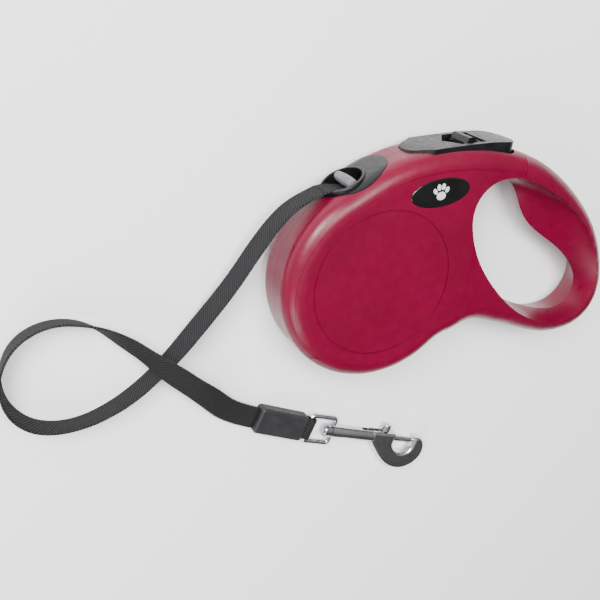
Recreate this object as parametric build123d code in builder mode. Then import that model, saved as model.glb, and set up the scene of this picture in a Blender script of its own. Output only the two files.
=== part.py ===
"""A retractable pet leash, lying on its back face, in millimetres.

The origin is where the spool's axis meets the surface that the leash rests on. +Z is up, out
of the front face, +X runs from the round nose to the handle, and +Y is the button's side.
"""
import os
from math import atan2, cos, degrees, hypot, pi, radians, sin, sqrt, tan

from build123d import *

os.makedirs("parts", exist_ok=True)

# ---------------------------------------------------------------- driving dimensions
# housing
thickness = 28.0          # body, over both faces
handle_thickness = 20.0   # housing at the far end of the handle
wall = 2.2
edge_radius = 7.5         # rounding of the housing's outer edge
body_radius = 42.2
body_centre = (0.9, -0.9)
seam = 0.15               # open joint line between the two shells
disc_radius = 30.5        # round panel line in each face
groove_width = 0.7
groove_depth = 0.4
band_drop = 0.6           # step between the face panel and the band along the rim
band_width = 6.0
band_end = 57.0           # where the step stops, near the button's rear end
badge_size = (27.0, 11.6)
badge_thickness = 0.9
badge_sunk = 0.6
badge_place = (17.2, 38.4, 12.5)   # x, y and the angle of its long axis
boss_radius = 3.0
screw_radius = 1.2
screw_head = (2.1, 1.6)   # radius and height
screw_sunk = 5.2          # underside of the heads, above the rear face
screw_top = 20.5
screw_places = [(31.5, 27.0), (45.5, -10.5), (66.0, 47.4), (-20.6, -32.9)]

# spool, tape and mainspring
tape_width = 10.0
tape_thickness = 1.0
tape_wound = 2600.0       # length that stays on the spool
spool_radius = 35.0
drum_radius = 17.0
drum_wall = 1.5
flange = 1.2
ratchet_flange = 1.6
ratchet_teeth = 24
tooth_depth = 2.0
axle_radius = 3.0
axle_boss = (5.5, 1.8)    # radius and height
spring_coils = 5
spring_strip = 0.6
spring_pitch = 1.9
notch_start = 49.2        # a notch faces the pawl at rest
tooth_run = 13.0          # degrees of slope in each notch
running_gap = 0.05        # radial, on every turning or sliding fit
side_gap = 0.4            # beside the tape, and between faces that pass each other

# tape mouth: its own X runs along the rim, and its own height is above the rim
mouth_centre = (-18.8, 36.7)
mouth_lean = 123.0        # direction that it faces
mouth_plate = (29.6, 22.0)
mouth_shift = 4.6         # from the opening's centre to the plate's centre
mouth_proud = 0.3
mouth_cut = 7.0           # depth of the shells' cut-out
bowl = (8.0, 6.6, 9.2)    # radius at the lip, radius inside, outer radius
bowl_span = (-4.5, 1.5)   # inner end and lip
roller = (2.3, 1.9, 13.0)    # radius in the middle, radius at the ends, length
roller_place = (1.2, 0.1)
roller_pin_size = (1.0, 17.8)
tape_leaves = (0.0, 34.05)   # middle of the tape, where it leaves the winding
tape_bend = (-24.5, 34.05)   # and where it turns over the lip

# brake button and its pawl
button_length = (4.8, 54.4)  # from tip to rear end, along X
button_half_width = 9.8
button_gap = 0.3
button_rear_gap = 1.2
button_floor = 48.9       # floor of its place in the shells
button_pivot = (8.5, 46.2)
button_press = 4.5        # degrees
lug = (2.2, 3.2)          # radius and half width
button_pin_size = (1.0, 16.0)
leg = (29.5, 33.5, 41.6)  # from x to x, and its foot
lock_place = (31.0, 57.2, 9.0)   # x, y and slope of the slider's bed
lock_depth = 2.2
lock_half_width = 7.5
lock_tongue = (0.8, 1.0)  # width and height of the slider's side tongues
lock_front = -9.0         # ends of its bed
lock_rear = 7.6
slider_length = 9.0
tab_half_width = 5.6
tab_height = 4.1
lock_travel = 4.0
pawl_place = (11.5, 37.0)
pawl_elbow = (25.0, 33.5)
pawl_heel = (32.0, 40.0)
pawl_eye = 3.0
pawl_thickness = 3.6
pawl_tip = (35.4, 50.0, 53.0)   # distance from the spool's axis, between these angles
pivot_radius = 1.5
pivot_boss = 2.8
spring_pad = (47.0, 48.0, 5.0)  # x, top and width of the button spring's seat
spring_top = 53.2         # seat on the button
spring_radius = 1.9
spring_wire = 0.5
button_spring_turns = 3.5

# free end of the lead; along the hook, lengths start from the ring's bar
cord_radius = 1.8         # a round cord of nearly the tape's own section area
lead_height = 3.2         # middle of the sleeve and of the hook, above the ground
sleeve_size = (25.0, 12.2, 6.4)
sleeve_place = (-20.6, -75.9, -15.5)   # x, y and the angle of its long axis
loop_start = -9.0         # inner end of the folded tape, from the sleeve's centre
bar_offset = 15.3         # ring's bar, from the sleeve's centre
bar_loop = (1.6, 2.6)     # inner and outer radius of the tape around the bar
fold_step = 0.05
hook_angle = -11.5
ring_wire = 1.15          # radius
ring_size = (13.0, 12.8)  # along and across, between wire centres
ring_corner = 1.6
ring_boss = (3.15, 12.0, 17.0)   # radius, from, to
stud = (1.5, 21.0)        # neck radius and end
stud_head = (2.9, 7.9, 11.8)    # radius, from, to
shoulder = (3.6, 17.1, 18.2)     # radius, from, to
shank = (3.0, 36.0)       # radius and end of its round part
hook_thickness = 5.6
hook_round = 1.5
hook_mouth = (48.5, 60.3)
bolt_radius = 1.5
bolt_span = (36.0, 61.1)
bolt_travel = 12.0
socket_depth = 1.0
knob = (42.5, 2.25, 1.2, 6.9)    # place, radius, neck radius, outer end
knob_slot = (29.2, 43.8)
bolt_spring_wire = 0.4
bolt_spring_turns = 6.5

# ---------------------------------------------------------------- worked out from those
mid = thickness / 2
inner_half = mid - wall
tape_low = mid - tape_width / 2
tape_high = mid + tape_width / 2
rear_flange_low = tape_low - side_gap - flange
front_flange_low = tape_high + side_gap
front_flange_high = front_flange_low + ratchet_flange
winding_radius = sqrt(drum_radius**2 + tape_wound * tape_thickness / pi)
pawl_low = (front_flange_low + front_flange_high - pawl_thickness) / 2
mouth_angle = radians(mouth_lean)

# Outline of the housing at its middle plane, from the nose over the button to the notch.
outline_points = [
    (-10.5, 42.9), (4.0, 50.4), (22.0, 55.0), (42.0, 56.6), (64.0, 54.0), (84.0, 45.8),
    (98.5, 36.4), (112.0, 24.0), (120.9, 10.5), (125.4, -3.0), (124.4, -13.5), (118.4, -21.8),
    (109.0, -26.3), (97.0, -27.4), (78.0, -23.6), (59.0, -19.6), (49.0, -19.5), (40.5, -23.8),
]
outline_steps = 48        # points of the outline when it is moved inwards
nose_angle = 124.0        # where the body's circle runs into the top of the outline
notch_angle = -44.0       # where it comes back in, below the handle

# The hand opening: at the middle plane, at the face, and how far the waist is between them.
opening_rows = [
    ((37.6, 25.0), (36.8, 25.2), 0.5), ((43.2, 13.9), (42.4, 13.5), 0.5),
    ((50.4, 5.1), (49.8, 4.4), 0.5), ((60.8, -3.9), (60.4, -5.0), 0.5),
    ((73.0, -12.0), (72.6, -13.2), 0.4), ((87.0, -16.2), (86.6, -19.0), 0.35),
    ((101.6, -18.2), (102.0, -20.8), 0.3), ((112.0, -15.6), (114.6, -15.0), 0.3),
    ((115.6, -6.0), (119.0, -4.0), 0.3), ((108.4, 5.6), (114.6, 10.5), 0.45),
    ((91.2, 16.2), (102.0, 25.6), 0.6), ((76.4, 24.6), (89.5, 35.0), 0.6),
    ((69.8, 32.0), (75.5, 40.8), 0.6), ((63.5, 40.2), (62.8, 45.2), 0.5),
    ((53.0, 44.3), (51.5, 45.9), 0.5), ((42.6, 42.0), (41.8, 42.8), 0.5),
    ((37.4, 34.6), (36.4, 34.8), 0.5),
]
handle_start = 40.0       # where the face begins to fall towards the handle
handle_end = 122.0
fall = degrees(atan2((thickness - handle_thickness) / 2, handle_end - handle_start))

# Top of the brake button and its underside, seen from the front face.
button_top = [(4.8, 51.6), (10.0, 53.3), (18.5, 55.2), (32.0, 57.7), (44.0, 59.4), (54.4, 59.6)]
button_under = [(4.8, 49.4), (10.0, 50.2), (20.0, 52.2), (42.0, 53.9), (54.4, 53.8)]

# The hook's plan: outside of the curve from the shank to the tip, and its inside back again.
hook_outside = [(36.0, -3.0), (42.5, -9.0), (49.0, -13.4), (58.0, -15.0), (65.0, -11.5),
                (68.0, -5.0), (66.4, 0.4), (62.6, 2.6)]
hook_inside = [(60.3, -2.4), (59.0, -5.2), (55.5, -6.8), (51.0, -5.6), (48.5, -2.4)]

# Route of the free tape, between the mouth and the sleeve.
cord_route = [
    (-37.0, 28.4, 13.8), (-44.0, 20.5, 13.2), (-50.5, 8.0, 12.2), (-57.0, -7.5, 10.2),
    (-66.5, -25.5, 7.2), (-77.0, -43.5, 4.2), (-91.0, -58.5, 4.4), (-108.0, -68.0, 4.8),
    (-125.0, -69.0, 5.2), (-137.0, -60.0, 5.2), (-141.0, -45.0, 5.2), (-136.0, -31.0, 5.2),
    (-123.5, -23.5, 5.2), (-108.5, -24.5, 6.0), (-94.5, -31.5, 8.8), (-83.0, -39.0, 12.0),
    (-71.5, -47.5, 12.0), (-58.0, -58.0, 7.2),
]
cord_first = (-28.6, 33.0)   # middle of the tape, just outside the mouth
cord_last_run = 13.0


def on_circle(radius, angle, centre=(0.0, 0.0)):
    return (centre[0] + radius * cos(radians(angle)), centre[1] + radius * sin(radians(angle)))


def save(part, name):
    part.label = name
    export_step(part, f"parts/{name}.step")


# ---------------------------------------------------------------- housing forms
def housing_outline(grow=0.0):
    """Face inside the housing's outline, moved outwards by grow."""
    start = on_circle(body_radius, nose_angle, body_centre)
    end = on_circle(body_radius, notch_angle, body_centre)
    low_side = on_circle(body_radius + grow, (nose_angle + notch_angle) / 2 + 180, body_centre)
    leave = on_circle(1.0, nose_angle - 90)
    arrive = on_circle(1.0, notch_angle - 90)
    with BuildSketch() as outline:
        with BuildLine() as rim:
            edge = Spline(start, *outline_points, end, tangents=[leave, arrive])
        if grow:
            points = []
            for step in range(outline_steps + 1):
                along = edge % (step / outline_steps)
                points.append(edge @ (step / outline_steps) + grow * Vector(-along.Y, along.X))
            with BuildLine() as rim:
                edge = Spline(*points, tangents=[leave, arrive])
                ThreePointArc(edge @ 1, low_side, edge @ 0)
            make_face(rim.edges())
        else:
            with BuildLine():
                ThreePointArc(end, low_side, start)
            make_face()
    return outline.sketch


def opening_outline(level, grow=0.0):
    """Points of the hand opening: level 0 is the middle plane, 1 the waist and 2 the face."""
    points = []
    for middle, face, waist in opening_rows:
        share = (0.0, waist, 1.0)[level]
        points.append(tuple(m + share * (f - m) for m, f in zip(middle, face)))
    moved = []
    for index, (x, y) in enumerate(points):
        before = points[index - 1]
        after = points[(index + 1) % len(points)]
        run, rise = after[0] - before[0], after[1] - before[1]
        size = hypot(run, rise)
        moved.append((x + grow * rise / size, y - grow * run / size))
    return moved


def opening_cutter(height, grow):
    """Space of the hand opening, from the middle plane out through a face at height."""
    slope = radians(fall)
    face = Plane(
        origin=(handle_start, 0, height), x_dir=(cos(slope), 0, -sin(slope)),
        z_dir=(sin(slope), 0, cos(slope)),
    )
    low_end = height - (handle_end - handle_start) * tan(slope)
    on_face = [((x - handle_start) / cos(slope), y) for x, y in opening_outline(2, grow)]
    levels = [
        (Plane.XY, opening_outline(0, grow)),
        (Plane.XY.offset(0.45 * low_end), opening_outline(1, grow)),
        (face, on_face),
    ]
    with BuildPart() as cutter:
        for plane, points in levels:
            with BuildSketch(plane):
                with BuildLine():
                    Spline(*points, periodic=True)
                make_face()
        loft()
    return cutter.part


def half_form(height, grow=0.0, rounding=edge_radius, opening=True):
    """Upper half of the housing's form, standing on Z = 0, moved outwards by grow."""
    slope = radians(fall)
    low_end = height - (handle_end - handle_start) * tan(slope)
    far = 2 * handle_end
    with BuildPart() as form:
        with BuildSketch():
            add(housing_outline(grow))
        extrude(amount=height)
        with BuildSketch(Plane.XZ.offset(-100)):
            with BuildLine():
                Polyline(
                    (handle_start, height), (far, height - (far - handle_start) * tan(slope)),
                    (far, height + 5), (handle_start, height + 5), close=True,
                )
            make_face()
        extrude(amount=200, mode=Mode.SUBTRACT)
        upper = form.edges().filter_by(lambda e: e.center().Z > low_end - 1.5)
        fillet(upper - upper.filter_by(Axis.Y), rounding)
        if opening:
            add(opening_cutter(height, -grow), mode=Mode.SUBTRACT)
    return form.part


cavity = half_form(inner_half, -wall, edge_radius - wall)

# The mouth's place on the rim: its own X runs along the rim and its own Z faces outwards.
mouth_plane = Plane(
    origin=(*mouth_centre, mid), x_dir=(sin(mouth_angle), -cos(mouth_angle), 0),
    z_dir=(cos(mouth_angle), sin(mouth_angle), 0),
)
# The button's plan is drawn looking down on the rim.
rim_plane = Plane(origin=(0, 0, mid), x_dir=(1, 0, 0), z_dir=(0, 1, 0))


def in_mouth(along, height):
    """Point in the middle plane, along the rim from the mouth's centre and above the rim."""
    point = mouth_plane.from_local_coords((along, 0, height))
    return (point.X, point.Y)


def button_plan(grow=0.0, rear_gap=0.0):
    """Outline of the brake button, seen from above the rim."""
    tip, rear = button_length[0] - grow, button_length[1] + grow + rear_gap
    side = button_half_width + grow
    with BuildSketch() as plan:
        with BuildLine() as edge:
            Spline(
                (tip, 0), (tip + 2.6, 0.62 * side), (tip + 6.2, 0.84 * side), (tip + 24, side),
                tangents=[(0, 1), (1, 0)],
            )
            Line((tip + 24, side), (rear - 8, side))
            Spline(
                (rear - 8, side), (rear - 1.6, 0.62 * side), (rear, 0),
                tangents=[(1, 0), (0, -1)],
            )
            mirror(edge.line, about=Plane.XZ)
        make_face()
    return plan.sketch


def rim_prism(plan, low, high):
    """A plan drawn above the rim, carried from Y = low to Y = high."""
    with BuildPart() as prism:
        with BuildSketch(rim_plane.offset(low)):
            add(plan)
        extrude(amount=high - low)
    return prism.part


# ---------------------------------------------------------------- the two shells
with BuildPart() as mouth_block:
    with BuildSketch(mouth_plane.offset(-mouth_cut)):
        with Locations((mouth_shift, 0)):
            Ellipse(mouth_plate[0] / 2, mouth_plate[1] / 2)
    extrude(amount=mouth_cut + 4)

with BuildPart() as button_block:
    add(rim_prism(button_plan(button_gap, button_rear_gap), button_floor, button_floor + 15))
    with Locations((button_pivot[0], button_pivot[1] + 1, mid)):
        Box(2 * lug[0] + 0.6, 2 * lug[0] + 4, 2 * lug[1] + 0.4)

with BuildPart() as band_cut:
    with BuildSketch():
        with BuildLine():
            Polyline(
                (-60, -33), (0, -33), (0, 30), (band_end, 30), (band_end + 2.5, 70), (-60, 70),
                close=True,
            )
        make_face()
    extrude(amount=mid + 1)
    with BuildSketch():
        with Locations((-2.0, -2.0)):
            add(housing_outline(-band_width))
    extrude(amount=mid + 1, mode=Mode.SUBTRACT)
    add(half_form(mid - band_drop, 0.0, edge_radius - band_drop, opening=False), mode=Mode.SUBTRACT)

with BuildPart() as bosses:
    with BuildSketch():
        with Locations(*screw_places):
            Circle(boss_radius)
    extrude(amount=inner_half)
    with BuildSketch(Plane.XY.offset(lug[1] + 0.2)):
        with Locations(button_pivot):
            Circle(lug[0])
    extrude(amount=inner_half - lug[1] - 0.2)
    with BuildSketch():
        with Locations((spring_pad[0], spring_pad[1] - 2)):
            Rectangle(spring_pad[2], 4)
    extrude(amount=spring_pad[2] / 2 + 0.5)
    add(cavity, mode=Mode.INTERSECT)

with BuildPart() as half_shell:
    add(half_form(mid))
    add(cavity, mode=Mode.SUBTRACT)
    add(band_cut.part, mode=Mode.SUBTRACT)
    add(bosses.part)
    with BuildSketch(Plane.XY.offset(inner_half - axle_boss[1])):
        Circle(axle_boss[0])
        Circle(axle_radius, mode=Mode.SUBTRACT)
    extrude(amount=axle_boss[1])
    with BuildSketch(Plane.XY.offset(mid)):
        Circle(disc_radius + groove_width / 2)
        Circle(disc_radius - groove_width / 2, mode=Mode.SUBTRACT)
    extrude(amount=-groove_depth, mode=Mode.SUBTRACT)
    with BuildSketch():
        with Locations(button_pivot):
            Circle(button_pin_size[0])
    extrude(amount=button_pin_size[1] / 2, mode=Mode.SUBTRACT)

front_half = Pos(0, 0, mid) * half_shell.part
rear_half = mirror(front_half, about=Plane.XY.offset(mid))
front_boss_low = pawl_low + pawl_thickness + 2.0

with BuildPart() as front_shell:
    add(front_half)
    with BuildSketch(Plane.XY.offset(front_boss_low)):
        with Locations(pawl_place):
            Circle(pivot_boss)
    extrude(amount=thickness - wall - front_boss_low)
    with BuildSketch(Plane.XY.offset(front_boss_low)):
        with Locations(pawl_place):
            Circle(pivot_radius)
    extrude(amount=1.6, mode=Mode.SUBTRACT)
    add(mouth_block.part, mode=Mode.SUBTRACT)
    add(button_block.part, mode=Mode.SUBTRACT)
    with BuildSketch(Plane.XY.offset(mid)):
        with Locations(*screw_places):
            Circle(screw_radius)
    extrude(amount=screw_top - mid, mode=Mode.SUBTRACT)
    with BuildSketch(Plane.XY.offset(thickness)):
        with Locations(Location((badge_place[0], badge_place[1], 0), (0, 0, badge_place[2]))):
            Ellipse(badge_size[0] / 2, badge_size[1] / 2)
    extrude(amount=-badge_sunk, mode=Mode.SUBTRACT)
    with BuildSketch(Plane.XY.offset(mid)):
        add(housing_outline(1.0))
        add(housing_outline(-wall - 0.05), mode=Mode.SUBTRACT)
    extrude(amount=seam, mode=Mode.SUBTRACT)
save(front_shell.part, "front_shell")

with BuildPart() as rear_shell:
    add(rear_half)
    with BuildSketch(Plane.XY.offset(wall)):
        with Locations(pawl_place):
            Circle(pivot_boss)
    extrude(amount=pawl_low - 0.1 - wall)
    with BuildSketch(Plane.XY.offset(pawl_low - 0.1)):
        with Locations(pawl_place):
            Circle(pivot_radius)
    extrude(amount=-8, mode=Mode.SUBTRACT)
    add(mouth_block.part, mode=Mode.SUBTRACT)
    add(button_block.part, mode=Mode.SUBTRACT)
    with BuildSketch(Plane.XY.offset(mid)):
        with Locations(*screw_places):
            Circle(screw_radius)
    extrude(amount=-mid, mode=Mode.SUBTRACT)
    with BuildSketch():
        with Locations(*screw_places):
            Circle(screw_head[0])
    extrude(amount=screw_sunk, mode=Mode.SUBTRACT)
save(rear_shell.part, "rear_shell")

with BuildPart() as badge:
    with BuildSketch(Plane.XY.offset(thickness - badge_sunk)):
        with Locations(Location((badge_place[0], badge_place[1], 0), (0, 0, badge_place[2]))):
            Ellipse(badge_size[0] / 2, badge_size[1] / 2)
    extrude(amount=badge_thickness)
    fillet(badge.edges().group_by(Axis.Z)[-1], 0.35)
save(badge.part, "badge")

with BuildPart() as housing_screws:
    with BuildSketch(Plane.XY.offset(screw_sunk - screw_head[1])):
        with Locations(*screw_places):
            Circle(screw_head[0])
    extrude(amount=screw_head[1])
    with BuildSketch(Plane.XY.offset(screw_sunk)):
        with Locations(*screw_places):
            Circle(screw_radius)
    extrude(amount=screw_top - screw_sunk)
save(housing_screws.part, "housing_screws")

# ---------------------------------------------------------------- tape mouth
cord_start = (*cord_first, mid)
first_run = Vector(*cord_route[0]) - Vector(*cord_start)
outward = Axis((0, 0, 0), (cos(mouth_angle), sin(mouth_angle), 0))
roller_centre = in_mouth(*roller_place)
tape_half = tape_thickness / 2
lip_start = Vector(*tape_bend)
lip_end = Vector(*cord_first)
inward = Vector(lip_start.Y - lip_end.Y, lip_end.X - lip_start.X).normalized()

with BuildPart() as mouth_insert:
    add(Pos(mouth_proud * cos(mouth_angle), mouth_proud * sin(mouth_angle), mid) * half_form(mid))
    mirror(about=Plane.XY.offset(mid))
    add(mouth_block.part, mode=Mode.INTERSECT)
    add(Pos(0, 0, mid) * cavity, mode=Mode.SUBTRACT)
    add(mirror(Pos(0, 0, mid) * cavity, about=Plane.XY.offset(mid)), mode=Mode.SUBTRACT)
    with BuildSketch(mouth_plane.offset(bowl_span[0])):
        Circle(bowl[2])
    extrude(amount=bowl_span[1] - bowl_span[0])
    fillet(mouth_insert.faces().sort_by(outward)[-1].edges(), 0.55)
    with BuildSketch(mouth_plane.offset(bowl_span[0] - 6)):
        Circle(bowl[1])
    with BuildSketch(mouth_plane.offset(bowl_span[1] + 0.1)):
        Circle(bowl[0])
    loft(mode=Mode.SUBTRACT)
    with BuildSketch(Plane.XY.offset(mid - tape_width / 2 - side_gap)):
        Polygon(
            lip_start + inward * tape_half, lip_end + inward * tape_half,
            lip_end - inward * bowl[0], lip_start - inward * bowl[0], align=None,
        )
    extrude(amount=tape_width + 2 * side_gap, mode=Mode.SUBTRACT)
    with BuildSketch(Plane.XY.offset(mid - roller_pin_size[1] / 2)):
        with Locations(roller_centre):
            Circle(roller_pin_size[0])
    extrude(amount=roller_pin_size[1], mode=Mode.SUBTRACT)
save(mouth_insert.part, "mouth_insert")

with BuildPart() as guide_roller:
    with BuildSketch(Plane.XZ):
        with BuildLine():
            bore = roller_pin_size[0] + running_gap
            ThreePointArc((roller[1], -roller[2] / 2), (roller[0], 0), (roller[1], roller[2] / 2))
            Polyline(
                (roller[1], roller[2] / 2), (bore, roller[2] / 2), (bore, -roller[2] / 2),
                (roller[1], -roller[2] / 2),
            )
        make_face()
    revolve(axis=Axis.Z)
save(Pos(*roller_centre, mid) * guide_roller.part, "guide_roller")

with BuildPart() as roller_pin:
    with BuildSketch(Plane.XY.offset(mid - roller_pin_size[1] / 2)):
        with Locations(roller_centre):
            Circle(roller_pin_size[0])
    extrude(amount=roller_pin_size[1])
save(roller_pin.part, "roller_pin")

with BuildPart() as tape_inside:
    with BuildSketch(Plane.XY.offset(tape_low)):
        with BuildLine():
            Polyline(tape_leaves, tape_bend, lip_end + (lip_end - lip_start).normalized())
        trace(line_width=tape_thickness)
    extrude(amount=tape_width)
    split(bisect_by=Plane(origin=cord_start, z_dir=first_run), keep=Keep.BOTTOM)
save(tape_inside.part, "tape_inside")

# ---------------------------------------------------------------- spool and mainspring
with BuildPart() as spool:
    with BuildSketch(Plane.XY.offset(rear_flange_low)):
        Circle(spool_radius)
    extrude(amount=flange)
    with BuildSketch(Plane.XY.offset(rear_flange_low)):
        Circle(drum_radius)
    extrude(amount=front_flange_high - rear_flange_low)
    with BuildSketch(Plane.XY.offset(front_flange_low)):
        Circle(spool_radius)
    extrude(amount=ratchet_flange)
    with BuildSketch(Plane.XY.offset(front_flange_low)):
        with PolarLocations(0, ratchet_teeth, start_angle=notch_start):
            Polygon(
                *[
                    on_circle(radius, angle)
                    for radius, angle in [
                        (spool_radius - tooth_depth, 0), (spool_radius + 1.5, 0),
                        (spool_radius + 1.5, tooth_run), (spool_radius, tooth_run),
                    ]
                ],
                align=None,
            )
    extrude(amount=ratchet_flange, mode=Mode.SUBTRACT)
    with BuildSketch(Plane.XY.offset(rear_flange_low + flange)):
        Circle(drum_radius - drum_wall)
    extrude(amount=thickness, mode=Mode.SUBTRACT)
    with BuildSketch(Plane.XY.offset(wall + axle_boss[1] + side_gap / 2)):
        Circle(axle_radius * 2)
    extrude(amount=rear_flange_low + flange / 2 - wall - axle_boss[1] - side_gap / 2)
    with BuildSketch():
        Circle(axle_radius + running_gap)
    extrude(amount=thickness, mode=Mode.SUBTRACT)
save(spool.part, "spool")

with BuildPart() as spring_cover:
    with BuildSketch(Plane.XY.offset(front_flange_low)):
        Circle(drum_radius - drum_wall)
        Circle(axle_radius + running_gap, mode=Mode.SUBTRACT)
    extrude(amount=ratchet_flange)
save(spring_cover.part, "spring_cover")

with BuildPart() as wound_tape:
    with BuildSketch(Plane.XY.offset(tape_low)):
        Circle(winding_radius)
        Circle(drum_radius, mode=Mode.SUBTRACT)
    extrude(amount=tape_width)
save(wound_tape.part, "wound_tape")

with BuildPart() as mainspring:
    with BuildSketch(Plane.XY.offset(rear_flange_low + flange)):
        with BuildLine():
            radius = drum_radius - drum_wall - spring_strip / 2
            centre = 0.0
            for turn in range(2 * spring_coils):
                side = 1 if turn % 2 == 0 else -1
                ThreePointArc(
                    (centre + side * radius, 0), (centre, side * radius), (centre - side * radius, 0),
                )
                centre -= side * spring_pitch / 4
                radius -= spring_pitch / 4
        trace(line_width=spring_strip)
    extrude(amount=tape_width - 0.5)
save(mainspring.part, "mainspring")

with BuildPart() as spool_axle:
    with BuildSketch(Plane.XY.offset(wall)):
        Circle(axle_radius)
    extrude(amount=thickness - 2 * wall)
save(spool_axle.part, "spool_axle")

# ---------------------------------------------------------------- brake
lock_slope = radians(lock_place[2])
lock_plane = Plane(
    origin=(lock_place[0], lock_place[1], mid), x_dir=(cos(lock_slope), sin(lock_slope), 0),
    z_dir=(-sin(lock_slope), cos(lock_slope), 0),
)
bed_plane = lock_plane.offset(-lock_depth)
tab_plane = Plane(origin=bed_plane.origin, x_dir=bed_plane.x_dir, z_dir=(0, 0, 1))

with BuildPart() as brake_button:
    with BuildSketch(Plane.XY.offset(mid - button_half_width)):
        with BuildLine():
            top = Spline(*button_top)
            under = Spline(*reversed(button_under))
            Line(top @ 1, under @ 0)
            Line(under @ 1, top @ 0)
        make_face()
    extrude(amount=2 * button_half_width)
    add(rim_prism(button_plan(), button_floor - 5, button_floor + 15), mode=Mode.INTERSECT)
    with BuildSketch(bed_plane):
        Polygon(
            (lock_front, 0), (-4, lock_half_width), (lock_rear, lock_half_width),
            (lock_rear, -lock_half_width), (-4, -lock_half_width), align=None,
        )
    extrude(amount=lock_depth + 3, mode=Mode.SUBTRACT)
    with BuildSketch(bed_plane):
        with Locations(((lock_rear - slider_length - lock_travel - 0.1) / 2 + lock_rear / 2, 0)):
            Rectangle(
                slider_length + lock_travel + 0.1,
                2 * (lock_half_width + lock_tongue[0] + running_gap),
            )
    extrude(amount=lock_tongue[1] + running_gap, mode=Mode.SUBTRACT)
    with BuildSketch(Plane.XY.offset(pawl_low)):
        with Locations(((leg[0] + leg[1]) / 2, (leg[2] + 53.5) / 2)):
            Rectangle(leg[1] - leg[0], 53.5 - leg[2])
    extrude(amount=pawl_thickness)
    with BuildSketch(Plane.XZ.offset(-spring_top)):
        with Locations((spring_pad[0], mid)):
            Circle(spring_radius + 0.8)
    extrude(amount=-2)
    with BuildSketch(Plane.XY.offset(mid - lug[1])):
        with Locations(button_pivot):
            Circle(lug[0])
        with Locations((button_pivot[0], button_pivot[1] + 2.2)):
            Rectangle(2 * lug[0], 4.4)
    extrude(amount=2 * lug[1])
    with BuildSketch():
        with Locations(button_pivot):
            Circle(button_pin_size[0] + running_gap)
    extrude(amount=thickness, mode=Mode.SUBTRACT)
save(brake_button.part, "brake_button")

with BuildPart() as button_pin:
    with BuildSketch(Plane.XY.offset(mid - button_pin_size[1] / 2)):
        with Locations(button_pivot):
            Circle(button_pin_size[0])
    extrude(amount=button_pin_size[1])
save(button_pin.part, "button_pin")

slider_front = lock_rear - slider_length
with BuildPart() as lock_slider:
    with BuildSketch(bed_plane):
        with Locations((lock_rear - slider_length / 2, 0)):
            Rectangle(slider_length - 0.1, 2 * (lock_half_width + lock_tongue[0]))
    extrude(amount=lock_tongue[1])
    with BuildSketch(bed_plane):
        Polygon(
            (slider_front + 0.4, 3.4), (slider_front + 2.6, lock_half_width - 0.1),
            (lock_rear - 0.1, lock_half_width - 0.1), (lock_rear - 0.1, 0.1 - lock_half_width),
            (slider_front + 2.6, 0.1 - lock_half_width), (slider_front + 0.4, -3.4), align=None,
        )
    extrude(amount=lock_depth - 0.4)
    with BuildSketch(tab_plane.offset(-tab_half_width)):
        Polygon(
            (slider_front + 0.4, 1), (slider_front + 1.6, tab_height),
            (slider_front + 3.4, tab_height), (lock_rear - 1.5, 1), align=None,
        )
    extrude(amount=2 * tab_half_width)
save(lock_slider.part, "lock_slider")

with BuildPart() as brake_pawl:
    with BuildSketch(Plane.XY.offset(pawl_low)):
        with BuildSketch(mode=Mode.PRIVATE) as bar:
            with Locations(pawl_place, pawl_elbow):
                Circle(pawl_eye)
            make_hull()
        add(bar.sketch)
        with BuildSketch(mode=Mode.PRIVATE) as arm:
            with Locations(pawl_elbow, pawl_heel):
                Circle(pivot_radius)
            make_hull()
        add(arm.sketch)
        Polygon(
            on_circle(pawl_tip[0], pawl_tip[1]), on_circle(pawl_tip[0] + 6, pawl_tip[1] + 0.5),
            on_circle(pawl_tip[0] + 6, pawl_tip[2] + 8), on_circle(pawl_tip[0], pawl_tip[2]),
            align=None,
        )
        with Locations(pawl_place):
            Circle(pivot_radius + running_gap, mode=Mode.SUBTRACT)
    extrude(amount=pawl_thickness)
save(brake_pawl.part, "brake_pawl")

with BuildPart() as pawl_pin:
    with BuildSketch(Plane.XY.offset(pawl_low - 8.1)):
        with Locations(pawl_place):
            Circle(pivot_radius)
    extrude(amount=front_boss_low + 1.6 - pawl_low + 8.1)
save(pawl_pin.part, "pawl_pin")

with BuildPart() as button_spring:
    with BuildLine() as coil:
        Helix(
            pitch=(spring_top - spring_pad[1]) / button_spring_turns,
            height=spring_top - spring_pad[1] - spring_wire, radius=spring_radius,
            center=(spring_pad[0], spring_pad[1] + spring_wire / 2, mid), direction=(0, 1, 0),
        )
    with BuildSketch(Plane(origin=coil.line @ 0, z_dir=coil.line % 0)):
        Circle(spring_wire / 2)
    sweep()
save(button_spring.part, "button_spring")

with BuildPart() as pawl_spring:
    with BuildLine() as coil:
        Helix(
            pitch=1.2 * spring_wire, height=front_boss_low - pawl_low - pawl_thickness - spring_wire,
            radius=pivot_radius + spring_wire,
            center=(*pawl_place, pawl_low + pawl_thickness + spring_wire / 2),
        )
    with BuildSketch(Plane(origin=coil.line @ 0, z_dir=coil.line % 0)):
        Circle(spring_wire / 2)
    sweep()
save(pawl_spring.part, "pawl_spring")

# ---------------------------------------------------------------- free end of the lead
sleeve_turn = radians(sleeve_place[2])
sleeve_dir = (cos(sleeve_turn), sin(sleeve_turn), 0)
sleeve_origin = (sleeve_place[0], sleeve_place[1], lead_height)
sleeve_plane = Plane(origin=sleeve_origin, x_dir=sleeve_dir, z_dir=(0, 0, 1))
bar_centre = (
    sleeve_place[0] + bar_offset * sleeve_dir[0], sleeve_place[1] + bar_offset * sleeve_dir[1],
    lead_height,
)
hook_turn = radians(hook_angle)
hook_dir = (cos(hook_turn), sin(hook_turn), 0)
hook_plane = Plane(origin=bar_centre, x_dir=hook_dir, z_dir=(0, 0, 1))


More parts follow.
